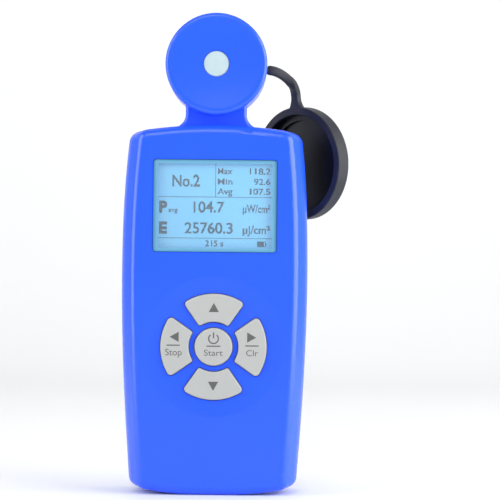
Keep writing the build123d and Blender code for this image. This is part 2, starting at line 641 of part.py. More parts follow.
# ================================================================ battery door
with BuildPart() as battery_door:
    block(2 * DOOR_HALF, *DOOR_Z, REAR_Y - DOOR_T, REAR_Y, corner=1.0)
    fillet(battery_door.faces().sort_by(Axis.Y)[-1].edges(), radius=0.3)
    with BuildSketch(at_y(REAR_Y)):
        with Locations((0, DOOR_Z[1] - 9)):
            with GridLocations(0, GRIP_PITCH, 1, GRIP_COUNT):
                SlotOverall(GRIP_L, GRIP_W)
    extrude(amount=GRIP_DEPTH, mode=Mode.SUBTRACT)
    for hook_x in HOOK_XS:
        block(HOOK_W, DOOR_Z[0] + 0.2, DOOR_Z[0] + 1.0, HOOK_Y[0], REAR_Y - DOOR_T, x=hook_x)
        block(HOOK_W, DOOR_Z[0] - HOOK_REACH, DOOR_Z[0] + 1.0, *HOOK_Y, x=hook_x)
finish(battery_door, "battery_door")

# ================================================================ sensor cap
CAP_ACROSS = CAP_UP.cross(CAP_FACING).normalized()
cap_plane = Plane(origin=CAP_CENTRE, x_dir=CAP_ACROSS, z_dir=CAP_FACING)
foot_plane = Plane(origin=CAP_CENTRE, x_dir=-CAP_FACING, z_dir=CAP_ACROSS)
BEND_UP = CAP_R + FOOT_RISE                      # height of the bend over the cap's axis
BEND = cap_plane.from_local_coords(Vector(0, BEND_UP, -FOOT_BACK))
STRAP_END = cap_plane.from_local_coords(Vector(0, BEND_UP + FOOT_T / 2 + STRAP_GAP, -FOOT_BACK))
FOOT_LOW = CAP_R - 1.2                           # the foot starts inside the cap's wall

with BuildPart() as cap_foot:
    with BuildSketch(foot_plane):
        with Locations((FOOT_BACK, (FOOT_LOW + BEND_UP) / 2)):
            Rectangle(FOOT_T, BEND_UP - FOOT_LOW)
        with Locations((FOOT_BACK, BEND_UP)):
            Circle(FOOT_T / 2)
    extrude(amount=FOOT_W / 2, both=True)
    with BuildSketch(cap_plane):
        with BuildLine():
            Polyline((-FOOT_W / 2, FOOT_LOW), (FOOT_W / 2, FOOT_LOW), (FOOT_TOP_W / 2, BEND_UP),
                     (FOOT_TOP_W / 2, BEND_UP + FOOT_T), (-FOOT_TOP_W / 2, BEND_UP + FOOT_T),
                     (-FOOT_TOP_W / 2, BEND_UP), close=True)
        make_face()
    extrude(amount=8, both=True, mode=Mode.INTERSECT)

with BuildPart() as sensor_cap:
    with BuildSketch(cap_plane):
        Circle(CAP_R)
    extrude(amount=-CAP_DEPTH)
    fillet(sensor_cap.faces().sort_by(Axis(CAP_CENTRE, CAP_FACING))[0].edges(),
           radius=CAP_BACK_ROUND)
    add(cap_foot.part)
    with BuildSketch(cap_plane):
        Circle(CAP_BORE_R)
    extrude(amount=-CAP_BORE_DEPTH, mode=Mode.SUBTRACT)
    with BuildSketch(cap_plane):
        Circle(CAP_STEP_R)
    extrude(amount=-CAP_STEP_DEPTH, mode=Mode.SUBTRACT)
    fillet(sensor_cap.faces().sort_by(Axis(CAP_CENTRE, CAP_FACING))[-1].edges(),
           radius=CAP_LIP_ROUND)
finish(sensor_cap, "sensor_cap")

with BuildPart() as cap_strap:
    plug_tip_x, barb_x, head_side_x = PLUG_XS
    with BuildSketch(Plane.XY.offset(PLUG_Z)):
        with BuildLine():
            Polyline((plug_tip_x, PLUG_Y), (plug_tip_x, PLUG_Y + 1.1),
                     (barb_x, PLUG_Y + PLUG_BARB_R), (barb_x, PLUG_Y + PLUG_R),
                     (head_side_x + 0.5, PLUG_Y + PLUG_R), (head_side_x + 0.5, PLUG_Y), close=True)
        make_face()
    revolve(axis=Axis((0, PLUG_Y, PLUG_Z), (1, 0, 0)))
    with BuildLine() as strap_line:
        Spline((head_side_x, PLUG_Y, PLUG_Z), STRAP_MIDDLE, STRAP_END,
               tangents=[(1, 0, 0), -CAP_UP])
    with BuildSketch(Plane(origin=strap_line.line @ 0, z_dir=strap_line.line % 0)):
        Circle(STRAP_R)
    sweep(path=strap_line.line)
finish(cap_strap, "cap_strap")
print("strap bend at", BEND, "turning about", CAP_ACROSS, "up", CAP_UP)
print("strap length", round(sum(edge.length for edge in strap_line.edges()), 2))
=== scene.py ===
import math

import bpy
import numpy as np
from bpy.props import FloatProperty, FloatVectorProperty, PointerProperty, StringProperty
from bpy.types import Operator, Panel, PropertyGroup
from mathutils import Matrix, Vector


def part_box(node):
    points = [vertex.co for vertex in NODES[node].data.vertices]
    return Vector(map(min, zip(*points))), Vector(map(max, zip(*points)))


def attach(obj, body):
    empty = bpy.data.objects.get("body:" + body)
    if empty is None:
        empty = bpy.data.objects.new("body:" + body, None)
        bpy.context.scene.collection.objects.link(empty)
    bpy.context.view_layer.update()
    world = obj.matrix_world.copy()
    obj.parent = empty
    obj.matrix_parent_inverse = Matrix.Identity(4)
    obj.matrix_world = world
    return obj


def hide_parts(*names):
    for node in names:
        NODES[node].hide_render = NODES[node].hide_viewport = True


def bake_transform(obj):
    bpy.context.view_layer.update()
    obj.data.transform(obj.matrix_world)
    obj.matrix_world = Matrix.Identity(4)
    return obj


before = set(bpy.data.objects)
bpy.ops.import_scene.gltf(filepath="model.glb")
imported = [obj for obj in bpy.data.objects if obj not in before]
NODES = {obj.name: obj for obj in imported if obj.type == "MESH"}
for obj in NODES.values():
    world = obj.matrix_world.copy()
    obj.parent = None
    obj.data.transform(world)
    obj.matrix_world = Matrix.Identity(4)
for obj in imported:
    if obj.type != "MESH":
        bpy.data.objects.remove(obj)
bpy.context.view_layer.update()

bl_info = {
    "name": "Handheld light meter",
    "version": (1, 0, 0),
    "blender": (4, 5, 0),
    "location": "3D View > Sidebar > Light meter",
    "description": "Finishes a handheld light meter: case, display, keys, sensor head and cap",
    "category": "Object",
}

MM = 0.001

# The rubber cap, as it hangs: the middle of its mouth, the way it faces, and its top.
CAP_CENTRE = np.array([28.3, 15.6, 114.6]) * MM
CAP_UP = np.array([-0.076, 0.0, 0.997])
CAP_FACING = np.array([-0.69, -0.72, -0.053])
CAP_FACING /= np.linalg.norm(CAP_FACING)
CAP_R = 20.0 * MM
CAP_BORE_R = 17.4 * MM
CAP_FLOOR = 4.6 * MM
FOOT_BACK = 2.0 * MM
BEND_UP = CAP_R + 2.2 * MM
FOOT_END_UP = BEND_UP + 1.35 * MM

# The strap: its plug in the side of the head, and the middle of its run.
HEAD_SIDE = np.array([17.55, 4.0, 146.6]) * MM
STRAP_MIDDLE = np.array([24.9, 9.2, 143.8]) * MM
SHOULDER_RUN = 0.5 * MM        # over which the strap swells from plug to full width
FOOT_FLARE = 1.35 * MM         # what each edge of the strap gains on its way to the cap
PLUG_STEPS_X = np.array([12.9, 12.9, 13.7, 14.4, 14.5, 14.6, 16.0, 17.45]) * MM
PLUG_STEPS_R = np.array([0.5, 1.1, 1.6, 2.0, 1.9, 1.45, 1.45, 1.45]) * MM
ROW_SHIFT = 0.002 * MM         # keeps two rows of the plug from lying in one place

# The face: the display's active area, the keys' middle and the top of the keys.
SCREEN_MIDDLE = np.array([0.0, 98.7]) * MM
SCREEN_SIZE = np.array([39.0, 29.0]) * MM
GLASS_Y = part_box("lcd_glass")[0].y
KEYS_Z = 50.7 * MM
KEY_TOP_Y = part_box("key_power")[0].y
PRINT_LIFT = 0.015 * MM

# The camera looks along +Y, level, at the height of the case's middle.
CAMERA_X = 12.1 * MM
CAMERA_Z = 83.8 * MM
CAMERA_ROLL = math.radians(-0.6)
OUTLINE_Y = -6.5 * MM          # depth of the widest outline, which sets the distance
SENSOR_WIDTH = 36.0            # in millimetres, as the camera has it


# ------------------------------------------------------------------ properties
class CaseSettings(PropertyGroup):
    blue: FloatVectorProperty(
        name="Case blue", description="Colour of the moulded case", subtype="COLOR", size=3,
        min=0.0, max=1.0, default=(0.014, 0.088, 0.90))
    gloss: FloatProperty(
        name="Gloss", description="Roughness of the polished mould", default=0.26,
        min=0.0, max=1.0, subtype="FACTOR")


class RubberSettings(PropertyGroup):
    charcoal: FloatVectorProperty(
        name="Rubber", description="Colour of the cap and its strap", subtype="COLOR", size=3,
        min=0.0, max=1.0, default=(0.018, 0.019, 0.025))
    strap_width: FloatProperty(
        name="Strap width", description="Width of the strap between plug and foot",
        default=3.3 * MM, min=1.0 * MM, max=6.0 * MM, unit="LENGTH")
    strap_thickness: FloatProperty(
        name="Strap thickness", description="Thickness of the strap", default=2.7 * MM,
        min=0.5 * MM, max=4.0 * MM, unit="LENGTH")


class KeySettings(PropertyGroup):
    grey: FloatVectorProperty(
        name="Key grey", description="Colour of the five keys", subtype="COLOR", size=3,
        min=0.0, max=1.0, default=(0.38, 0.39, 0.38))
    ink: FloatVectorProperty(
        name="Key legend", description="Colour of the printed legends", subtype="COLOR",
        size=3, min=0.0, max=1.0, default=(0.085, 0.088, 0.085))


class DisplaySettings(PropertyGroup):
    sky: FloatVectorProperty(
        name="Backlight", description="Colour of the lit display", subtype="COLOR", size=3,
        min=0.0, max=1.0, default=(0.110, 0.360, 0.59))
    border: FloatVectorProperty(
        name="Window print", description="Colour printed round the window", subtype="COLOR",
        size=3, min=0.0, max=1.0, default=(0.11, 0.31, 0.45))
    ink: FloatVectorProperty(
        name="Segments", description="Colour of the dark dots", subtype="COLOR", size=3,
        min=0.0, max=1.0, default=(0.004, 0.014, 0.040))
    dot: FloatProperty(
        name="Dot pitch", description="Distance between two dots of the display",
        default=0.21 * MM, min=0.1 * MM, max=0.6 * MM, unit="LENGTH")
    memory: StringProperty(
        name="Memory", description="Name of the memory place", default="No.2")
    power: StringProperty(name="Power", description="Power reading", default="104.7")
    energy: StringProperty(name="Energy", description="Energy reading", default="25760.3")


class StageSettings(PropertyGroup):
    camera_distance: FloatProperty(
        name="Camera distance", description="From the camera to the face of the case",
        default=0.70, min=0.2, max=3.0, unit="LENGTH")
    field: FloatProperty(
        name="Field", description="Height of what the camera sees at the case",
        default=172.0 * MM, min=0.05, max=1.0, unit="LENGTH")


class MeterSettings(PropertyGroup):
    case: PointerProperty(type=CaseSettings)
    rubber: PointerProperty(type=RubberSettings)
    key: PointerProperty(type=KeySettings)
    display: PointerProperty(type=DisplaySettings)
    stage: PointerProperty(type=StageSettings)


# ------------------------------------------------------------------ shader maths
class Value:
    """One output socket of a material; arithmetic on it adds Math nodes."""

    def __init__(self, paint, socket):
        self.paint = paint
        self.socket = socket

    def __add__(self, other):
        return self.paint.math("ADD", self, other)

    def __sub__(self, other):
        return self.paint.math("SUBTRACT", self, other)

    def __rsub__(self, other):
        return self.paint.math("SUBTRACT", other, self)

    def __mul__(self, other):
        return self.paint.math("MULTIPLY", self, other)

    def __truediv__(self, other):
        return self.paint.math("DIVIDE", self, other)

    def __pow__(self, other):
        return self.paint.math("POWER", self, other)

    __radd__ = __add__
    __rmul__ = __mul__


class Paint:
    """A node-based material being made: any node, Math nodes, noise, mixes and a bump."""

    def __init__(self, name):
        self.material = bpy.data.materials.new(name)
        self.material.use_nodes = True
        self.tree = self.material.node_tree
        self.tree.nodes.clear()
        self.output = self.tree.nodes.new("ShaderNodeOutputMaterial")
        coordinates = self.tree.nodes.new("ShaderNodeTexCoord")
        self.place = Value(self, coordinates.outputs["Object"])

    def node(self, kind, settings=None, inputs=None):
        """A node of any type: its settings are set first, then its sockets."""
        made = self.tree.nodes.new(kind)
        for key, value in (settings or {}).items():
            setattr(made, key, value)
        for key, value in (inputs or {}).items():
            self.feed(made.inputs[key], value)
        return made

    def feed(self, socket, value):
        """Links a Value into a socket, or sets a constant on it."""
        if isinstance(value, Value):
            self.tree.links.new(value.socket, socket)
        elif hasattr(socket.default_value, "__len__") and len(value) == 3:
            socket.default_value = (*value, 1.0) if len(socket.default_value) == 4 else value
        else:
            socket.default_value = value

    def math(self, operation, *values):
        made = self.node("ShaderNodeMath", {"operation": operation})
        for socket, value in zip(made.inputs, values):
            self.feed(socket, value)
        return Value(self, made.outputs[0])

    def vector(self, operation, *values):
        """A Vector Math node; its number where it gives one, else its vector."""
        made = self.node("ShaderNodeVectorMath", {"operation": operation})
        for socket, value in zip(made.inputs, values):
            self.feed(socket, value)
        gives_number = operation in ("DOT_PRODUCT", "LENGTH")
        return Value(self, made.outputs["Value" if gives_number else "Vector"])

    def noise(self, scale, detail=2.0, roughness=0.5):
        """Smooth random value, 0 to 1, scale features to the metre."""
        made = self.node("ShaderNodeTexNoise", None, {
            "Vector": self.place, "Scale": scale, "Detail": detail, "Roughness": roughness})
        return Value(self, made.outputs["Fac"])

    def axis(self, letter):
        """One coordinate of the place on the surface, in metres."""
        made = self.node("ShaderNodeSeparateXYZ", None, {"Vector": self.place})
        return Value(self, made.outputs[letter])

    def step(self, value, low, high):
        """0 under low, 1 over high, smooth between; the reverse where high is the lower."""
        falling = high < low
        made = self.node("ShaderNodeMapRange", {"interpolation_type": "SMOOTHSTEP"}, {
            "Value": value, "From Min": min(low, high), "From Max": max(low, high),
            "To Min": float(falling), "To Max": float(not falling)})
        return Value(self, made.outputs["Result"])

    def mix(self, factor, first, second):
        """Colour first where factor is 0, second where it is 1."""
        made = self.node("ShaderNodeMix", {"data_type": "RGBA"})
        self.feed(made.inputs[0], factor)
        self.feed(made.inputs[6], first)
        self.feed(made.inputs[7], second)
        return Value(self, made.outputs[2])

    def bump(self, height, distance, strength=1.0):
        """A normal that makes height stand out by distance metres."""
        made = self.node("ShaderNodeBump", None, {
            "Height": height, "Distance": distance, "Strength": strength})
        return Value(self, made.outputs["Normal"])

    def surface(self, **sockets):
        """Ends the material in one Principled shader with the given sockets."""
        made = self.node("ShaderNodeBsdfPrincipled", None, {
            name.replace("_", " "): value for name, value in sockets.items()})
        self.tree.links.new(made.outputs[0], self.output.inputs["Surface"])
        return self.material


def shade(colour, factor):
    """The colour, lighter or darker by a factor."""
    return tuple(min(1.0, channel * factor) for channel in colour)


def moulded(name, colour, gloss, grain=0.000002, cloud=0.05):
    """Moulded plastic: faint clouding of the colour, a fine mould grain, uneven gloss."""
    paint = Paint(name)
    clouds = paint.noise(30.0, 3.0)
    fine = paint.noise(900.0, 2.0, 0.6)
    tone = paint.mix(clouds, shade(colour, 1.0 - cloud), shade(colour, 1.0 + cloud))
    return paint.surface(
        Base_Color=tone, Roughness=gloss + clouds * 0.05 + fine * 0.03 - 0.04,
        Normal=paint.bump(fine, grain), Specular_IOR_Level=0.5)


def rubber(name, colour):
    """Moulded rubber: dusty outside; smoother inside the cap, where painted shade darkens its
    colour.
    """
    paint = Paint(name)
    dust = paint.noise(95.0, 4.0, 0.6)
    skin = paint.noise(2600.0, 3.0, 0.7)
    from_mouth = paint.vector("SUBTRACT", paint.place, tuple(CAP_CENTRE))
    ahead = paint.vector("DOT_PRODUCT", from_mouth, tuple(CAP_FACING))
    reach = paint.vector("LENGTH", from_mouth)
    off_axis = paint.math("SQRT", paint.math("MAXIMUM", reach * reach - ahead * ahead, 0.0))
    # inside marks the cap's hollow, where the colour gets painted shade
    inside = paint.step(off_axis, CAP_BORE_R + 0.25 * MM, CAP_BORE_R + 0.05 * MM)
    inside = inside * paint.step(ahead, -0.1 * MM, -0.5 * MM) * paint.step(
        ahead, -CAP_FLOOR - 0.6 * MM, -CAP_FLOOR - 0.3 * MM)
    dusty = paint.mix(paint.step(dust, 0.40, 0.75), colour, shade(colour, 1.5))
    return paint.surface(
        # painted shade: inside the cap the colour is darkened to 0.12 of itself
        Base_Color=paint.mix(inside, dusty, shade(colour, 0.12)),
        Roughness=0.46 + dust * 0.12 - inside * 0.12,
        Normal=paint.bump(skin + dust * 0.6, 0.000012),
        Specular_IOR_Level=0.3)


def steel(name, colour, roughness, pitch=900.0):
    """Plated metal with fine turning marks and a little tarnish."""
    paint = Paint(name)
    marks = paint.noise(pitch, 4.0, 0.7)
    tarnish = paint.noise(240.0, 2.0)
    return paint.surface(
        Base_Color=paint.mix(tarnish, shade(colour, 0.8), colour),
        Metallic=1.0, Roughness=roughness + marks * 0.14,
        Normal=paint.bump(marks, 0.00001))


def board_mask(name):
    """Green solder mask over copper: tracks run along and across the board."""
    paint = Paint(name)
    along = paint.node("ShaderNodeTexBrick", {"offset": 0.5, "squash": 1.0}, {
        "Vector": paint.place, "Scale": 260.0, "Mortar Size": 0.03, "Brick Width": 1.6,
        "Row Height": 0.35})
    tracks = Value(paint, along.outputs["Fac"])
    mottling = paint.noise(420.0, 3.0)
    green = paint.mix(mottling, (0.004, 0.055, 0.022), (0.010, 0.095, 0.036))
    return paint.surface(
        Base_Color=paint.mix(tracks * 0.6, green, (0.035, 0.20, 0.075)),
        Roughness=0.28 + mottling * 0.16, Normal=paint.bump(tracks, 0.00003))


def wrapped_cell(name):
    """Shrink-wrapped cell: a dark sleeve with a copper-coloured band at its end."""
    paint = Paint(name)
    height = paint.axis("Z")
    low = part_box("battery_cells")[0].z
    band = paint.step(height, low + 0.0325, low + 0.0328)
    creases = paint.noise(700.0, 3.0)
    return paint.surface(
        Base_Color=paint.mix(band, (0.010, 0.012, 0.016), (0.50, 0.17, 0.045)),
        Roughness=0.22 + creases * 0.20, Metallic=band * 0.6,
        Normal=paint.bump(creases, 0.00003))


def window_clear(name, border):
    """Clear polished acrylic; a border printed behind it hides the edge of the display, with
    painted shade darkening the border towards the recess wall.
    """
    paint = Paint(name)
    wiped = paint.noise(130.0, 3.0)
    reach = []
    for letter, middle, size in zip("XZ", SCREEN_MIDDLE, SCREEN_SIZE):
        off_middle = paint.math("ABSOLUTE", paint.axis(letter) - float(middle))
        reach.append(off_middle - float(size) / 2)
    outside = paint.math("MAXIMUM", *reach)
    printed_here = paint.step(outside, -0.04 * MM, 0.04 * MM)
    # painted shade: the border darkens from its inner edge outward over 1.6 mm, towards the
    # recess wall
    tone = paint.mix(paint.step(outside, 0.0, 1.6 * MM), shade(border, 1.15), shade(border, 0.85))
    return paint.surface(
        Base_Color=paint.mix(printed_here, (0.80, 0.95, 1.0), tone),
        Alpha=paint.math("MAXIMUM", printed_here, wiped * 0.03 + 0.05),
        Roughness=wiped * 0.05 + 0.04, Specular_IOR_Level=0.5)


def lit_display(name, colour):
    """Backlit display: brighter towards its upper right, slightly blotched."""
    paint = Paint(name)
    low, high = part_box("lcd_glass")
    across = paint.step(paint.axis("X"), low.x, high.x)
    upward = paint.step(paint.axis("Z"), low.z, high.z)
    blotch = paint.noise(60.0, 2.0)
    level = across * 0.35 + upward * 0.25 + blotch * 0.25
    tone = paint.mix(level, shade(colour, 0.86), shade(colour, 1.10))
    return paint.surface(
        Base_Color=tone, Roughness=0.34 + blotch * 0.08, Emission_Color=tone,
        Emission_Strength=0.25)


def printed(name, colour, gloss=0.45):
    """Printed ink, slightly uneven in tone and gloss."""
    paint = Paint(name)
    uneven = paint.noise(900.0, 3.0)
    return paint.surface(
        Base_Color=paint.mix(uneven, shade(colour, 0.88), shade(colour, 1.12)),
        Roughness=gloss + uneven * 0.12)


def diffuser_white(name):
    """Translucent white fluoropolymer: milky, light soaks into it, fine skived texture."""
    paint = Paint(name)
    milk = paint.noise(260.0, 3.0)
    skin = paint.noise(2600.0, 2.0)
    return paint.surface(
        Base_Color=paint.mix(milk, (0.38, 0.49, 0.53), (0.45, 0.57, 0.60)),
        Roughness=0.42 + milk * 0.14, Normal=paint.bump(skin, 0.00002),
        Subsurface_Weight=0.35, Subsurface_Radius=(0.0016, 0.0016, 0.0015),
        Subsurface_Scale=1.0)


def filter_glass(name):
    """Dark violet filter glass."""
    paint = Paint(name)
    seeds = paint.noise(500.0, 2.0)
    return paint.surface(
        Base_Color=paint.mix(seeds, (0.03, 0.008, 0.07), (0.05, 0.012, 0.10)),
        Roughness=0.04 + seeds * 0.03, Coat_Weight=0.5, Coat_Roughness=0.03)


# ------------------------------------------------------------------ surfaces
def surface(name, grid, material, close_u=False, close_v=False, caps=()):
    """A mesh from a grid of points, rows along u and columns along v, shape (u, v, 3).

    Faces join each point to its neighbours; close_u and close_v join the last row or
    column to the first. caps lists the rows that are filled with a fan to their middle.
    """
    rows, columns = grid.shape[:2]
    index = np.arange(rows * columns).reshape(rows, columns)
    u_from = np.arange(rows if close_u else rows - 1)
    v_from = np.arange(columns if close_v else columns - 1)
    u, v = np.meshgrid(u_from, v_from, indexing="ij")
    u_next, v_next = (u + 1) % rows, (v + 1) % columns
    quads = np.stack(
        [index[u, v], index[u_next, v], index[u_next, v_next], index[u, v_next]], -1)
    points = grid.reshape(-1, 3)
    faces = quads.reshape(-1, 4).tolist()
    for row in caps:
        middle = len(points)
        points = np.vstack([points, grid[row].mean(axis=0)])
        first = index[row]
        second = np.roll(first, -1)
        pair = (second, first) if row == 0 else (first, second)
        faces += np.stack([pair[0], pair[1], np.full(columns, middle)], -1).tolist()
    return as_object(name, points, faces, material)


def as_object(name, points, faces, material, smooth=True):
    """A finished mesh object at the origin, with its material."""
    mesh = bpy.data.meshes.new(name)
    mesh.from_pydata(np.asarray(points, float).tolist(), [], faces)
    mesh.polygons.foreach_set("use_smooth", np.full(len(mesh.polygons), smooth))
    mesh.update()
    mesh.materials.append(material)
    made = bpy.data.objects.new(name, mesh)
    bpy.context.scene.collection.objects.link(made)
    return made


def unit(vectors):
    """The same directions with length 1."""
    return vectors / np.linalg.norm(vectors, axis=-1, keepdims=True)


def curve_through(points, directions, steps):
    """A smooth line through points with a given direction at each, as (n, 3).

    Every run is the cubic whose ends have those directions, as long as the run's chord.
    """
    runs = []
    t = np.linspace(0, 1, steps, endpoint=False)[:, None]
    for here, there, out, into in zip(points, points[1:], directions, directions[1:]):
        chord = np.linalg.norm(there - here)
        runs.append(
            (2 * t**3 - 3 * t**2 + 1) * here + (t**3 - 2 * t**2 + t) * chord * out
            + (3 * t**2 - 2 * t**3) * there + (t**3 - t**2) * chord * into)
    return np.vstack([*runs, points[-1][None]])


def even_slope(points, out, into):
    """The direction at the middle one of three points that leaves no jump of curvature."""
    first, last = (np.linalg.norm(b - a) for a, b in zip(points, points[1:]))
    pull = 3 * ((points[1] - points[0]) / first**2 + (points[2] - points[1]) / last**2)
    return (pull - out / first - into / last) / (2 / first + 2 / last)


def swept(line, facing, half_width, half_depth, square, columns=32):
    """A closed section carried along a line, as a grid (rows, columns, 3).

    Each row's section is a superellipse: cosine and sine of the angle round it, each
    raised to the row's power, times half_width across and half_depth along facing.
    """
    along = unit(np.gradient(line, axis=0))
    facing = unit(facing - (facing * along).sum(-1, keepdims=True) * along)
    across = np.cross(along, facing)
    turn = np.linspace(0, 2 * math.pi, columns, endpoint=False)[None, :]
    power = np.asarray(square)[:, None]
    u = np.sign(np.cos(turn)) * np.abs(np.cos(turn)) ** power * half_width[:, None]
    v = np.sign(np.sin(turn)) * np.abs(np.sin(turn)) ** power * half_depth[:, None]
    return line[:, None] + u[..., None] * across[:, None] + v[..., None] * facing[:, None]


def word(text, width, height, weight=0.0):
    """Triangles of a word, (n, 3, 2): its left end and base line at 0, 0.

    It is stretched to the width, and to the height of a capital; weight fattens its lines.
    """
    def outline(body):
        curve = bpy.data.curves.new("word", "FONT")
        curve.body = body
        curve.offset = weight
        maker = bpy.data.objects.new("word", curve)
        mesh = bpy.data.meshes.new_from_object(maker)
        mesh.calc_loop_triangles()
        points = np.array([vertex.co[:2] for vertex in mesh.vertices])
        corners = np.array([triangle.vertices[:] for triangle in mesh.loop_triangles])
        bpy.data.objects.remove(maker)
        bpy.data.curves.remove(curve)
        bpy.data.meshes.remove(mesh)
        return points[corners]

    triangles = outline(text)
    capital = outline("H")[..., 1].max()
    left, right = triangles[..., 0].min(), triangles[..., 0].max()
    return (triangles - [left, 0.0]) * [width / (right - left), height / capital]


class Screen:
    """The display's grid of dots, dark or clear."""

    def __init__(self, pitch):
        self.pitch = pitch
        self.shape = np.round(SCREEN_SIZE / pitch).astype(int)
        self.dark = np.zeros(self.shape, bool)

    def block(self, left, top, right, bottom):
        """Darkens a block; places are shares of the screen, from its upper left corner."""
        columns, rows = self.shape
        self.dark[round(left * columns):max(round(right * columns), round(left * columns) + 1),
                  round(top * rows):max(round(bottom * rows), round(top * rows) + 1)] = True

    def write(self, text, place, base, width, height, anchor=0.0, weight=0.02):
        """Darkens the dots whose middles lie in a word's letters; sizes in metres."""
        triangles = word(text, width, height, weight)
        start = place * SCREEN_SIZE[0] - anchor * width
        triangles = triangles * [1, -1] + [start, base * SCREEN_SIZE[1]]
        triangles = triangles / self.pitch - 0.5
        for a, b, c in triangles:
            low = np.floor(np.minimum(np.minimum(a, b), c)).astype(int)
            high = np.ceil(np.maximum(np.maximum(a, b), c)).astype(int) + 1
            x, z = np.meshgrid(*(np.arange(*ends) for ends in zip(low, high)), indexing="ij")
            sides = np.stack([
                (q[0] - p[0]) * (z - p[1]) - (q[1] - p[1]) * (x - p[0])
                for p, q in ((a, b), (b, c), (c, a))])
            inside = (sides >= 0).all(axis=0) | (sides <= 0).all(axis=0)
            self.dark[x[inside], z[inside]] = True

    def squares(self):
        """The corners of the dark dots' squares, (n, 4, 2), in metres."""
        x, z = np.nonzero(self.dark)
        middle = np.stack([x + 0.5, -(z + 0.5)], -1) * self.pitch
        middle += SCREEN_MIDDLE + SCREEN_SIZE * [-0.5, 0.5]
        half = 0.46 * self.pitch
        corner = np.array([[-half, -half], [half, -half], [half, half], [-half, half]])
        return middle[:, None] + corner[None]


def flat(name, shapes, y, material):
    """One mesh, facing the front at depth y, of flat shapes, each (n, corners, 2)."""
    points, faces = [], []
    for shape in shapes:
        shape = np.asarray(shape, float)
        across = shape[:, 1] - shape[:, 0]
        along = shape[:, 2] - shape[:, 0]
        clockwise = across[:, 0] * along[:, 1] - across[:, 1] * along[:, 0] < 0
        shape[clockwise] = shape[clockwise][:, ::-1]
        count, corners = shape.shape[:2]
        start = sum(len(part) for part in points)
        faces += (np.arange(count * corners).reshape(count, corners) + start).tolist()
        points.append(shape.reshape(-1, 2))
    places = np.vstack(points)
    places = np.stack([places[:, 0], np.full(len(places), y), places[:, 1]], -1)
    return as_object(name, places, faces, material, smooth=False)


def bar(middle_x, middle_z, width, height):
    """A flat rectangle as one shape."""
    x, z = width / 2, height / 2
    corner = np.array([[[-x, -z], [x, -z], [x, z], [-x, z]]])
    return corner + [middle_x, middle_z]


def arrow(middle_x, middle_z, turn, base, height):
    """A flat triangle that points up, turned about its middle by turn degrees."""
    corner = np.array([[-base / 2, -height / 2], [base / 2, -height / 2], [0, height / 2]])
    angle = math.radians(turn)
    spin = np.array([[math.cos(angle), math.sin(angle)], [-math.sin(angle), math.cos(angle)]])
    return (corner @ spin)[None] + [middle_x, middle_z]


def open_ring(middle_x, middle_z, radius, line, gap):
    """A flat ring, open for gap degrees at its top."""
    turn = np.radians(np.linspace(90 + gap / 2, 450 - gap / 2, 41))
    ray = np.stack([np.cos(turn), np.sin(turn)], -1)
    inner, outer = ray * (radius - line / 2), ray * (radius + line / 2)
    return np.stack([inner[:-1], outer[:-1], outer[1:], inner[1:]], 1) + [middle_x, middle_z]


# ------------------------------------------------------------------ operators
class METER_OT_case(Operator):
    """Gives the case, its screws and the battery door their finishes"""

    bl_idname = "meter.case"
    bl_label = "Case"

    def execute(self, context):
        wanted = context.scene.meter.case
        blue = moulded("case_blue_plastic", tuple(wanted.blue), wanted.gloss)
        for name in ("front_housing", "rear_housing", "battery_door"):
            dress(name, blue)
        dress("case_screws", steel("zinc_screw", (0.55, 0.56, 0.58), 0.24))
        return {"FINISHED"}


def dress(node, material):
    """Puts one material on every slot of a CAD node."""
    piece = NODES[node]
    piece.data.materials.clear()
    piece.data.materials.append(material)


class METER_OT_inside(Operator):
    """Gives the boards, cells, contacts and other inner pieces their finishes"""

    bl_idname = "meter.inside"
    bl_label = "Inside"

    def execute(self, context):
        black = moulded("black_moulding", (0.012, 0.012, 0.014), 0.55, 0.000008)
        plated = steel("nickel_contact", (0.72, 0.71, 0.68), 0.16)
        zinc = bpy.data.materials["zinc_screw"]
        silicone = moulded("grey_silicone", (0.30, 0.31, 0.31), 0.62, 0.000008)
        mask = board_mask("green_board")
        finishes = {
            "sensor_holder": black, "lcd_frame": black, "processor": black,
            "amplifier_chip": black, "main_board": mask, "sensor_board": mask,
            "main_board_screws": zinc, "sensor_board_screws": zinc,
            "dome_switches": plated, "battery_springs": plated, "battery_plates": plated,
            "photodiode": plated, "keypad_rubber": silicone, "lcd_connector": silicone,
            "battery_cells": wrapped_cell("cell_sleeve"),
            "optical_filter": filter_glass("violet_filter"),
            "lcd_backlight": moulded("light_guide", (0.45, 0.75, 0.90), 0.20),
            "sensor_cable": moulded("ribbon_cable", (0.42, 0.43, 0.45), 0.40),
        }
        for node, material in finishes.items():
            dress(node, material)
        return {"FINISHED"}


class METER_OT_head(Operator):
    """Finishes the diffuser in the sensor head"""

    bl_idname = "meter.head"
    bl_label = "Sensor head"

    def execute(self, context):
        dress("diffuser", diffuser_white("diffuser_milk"))
        return {"FINISHED"}


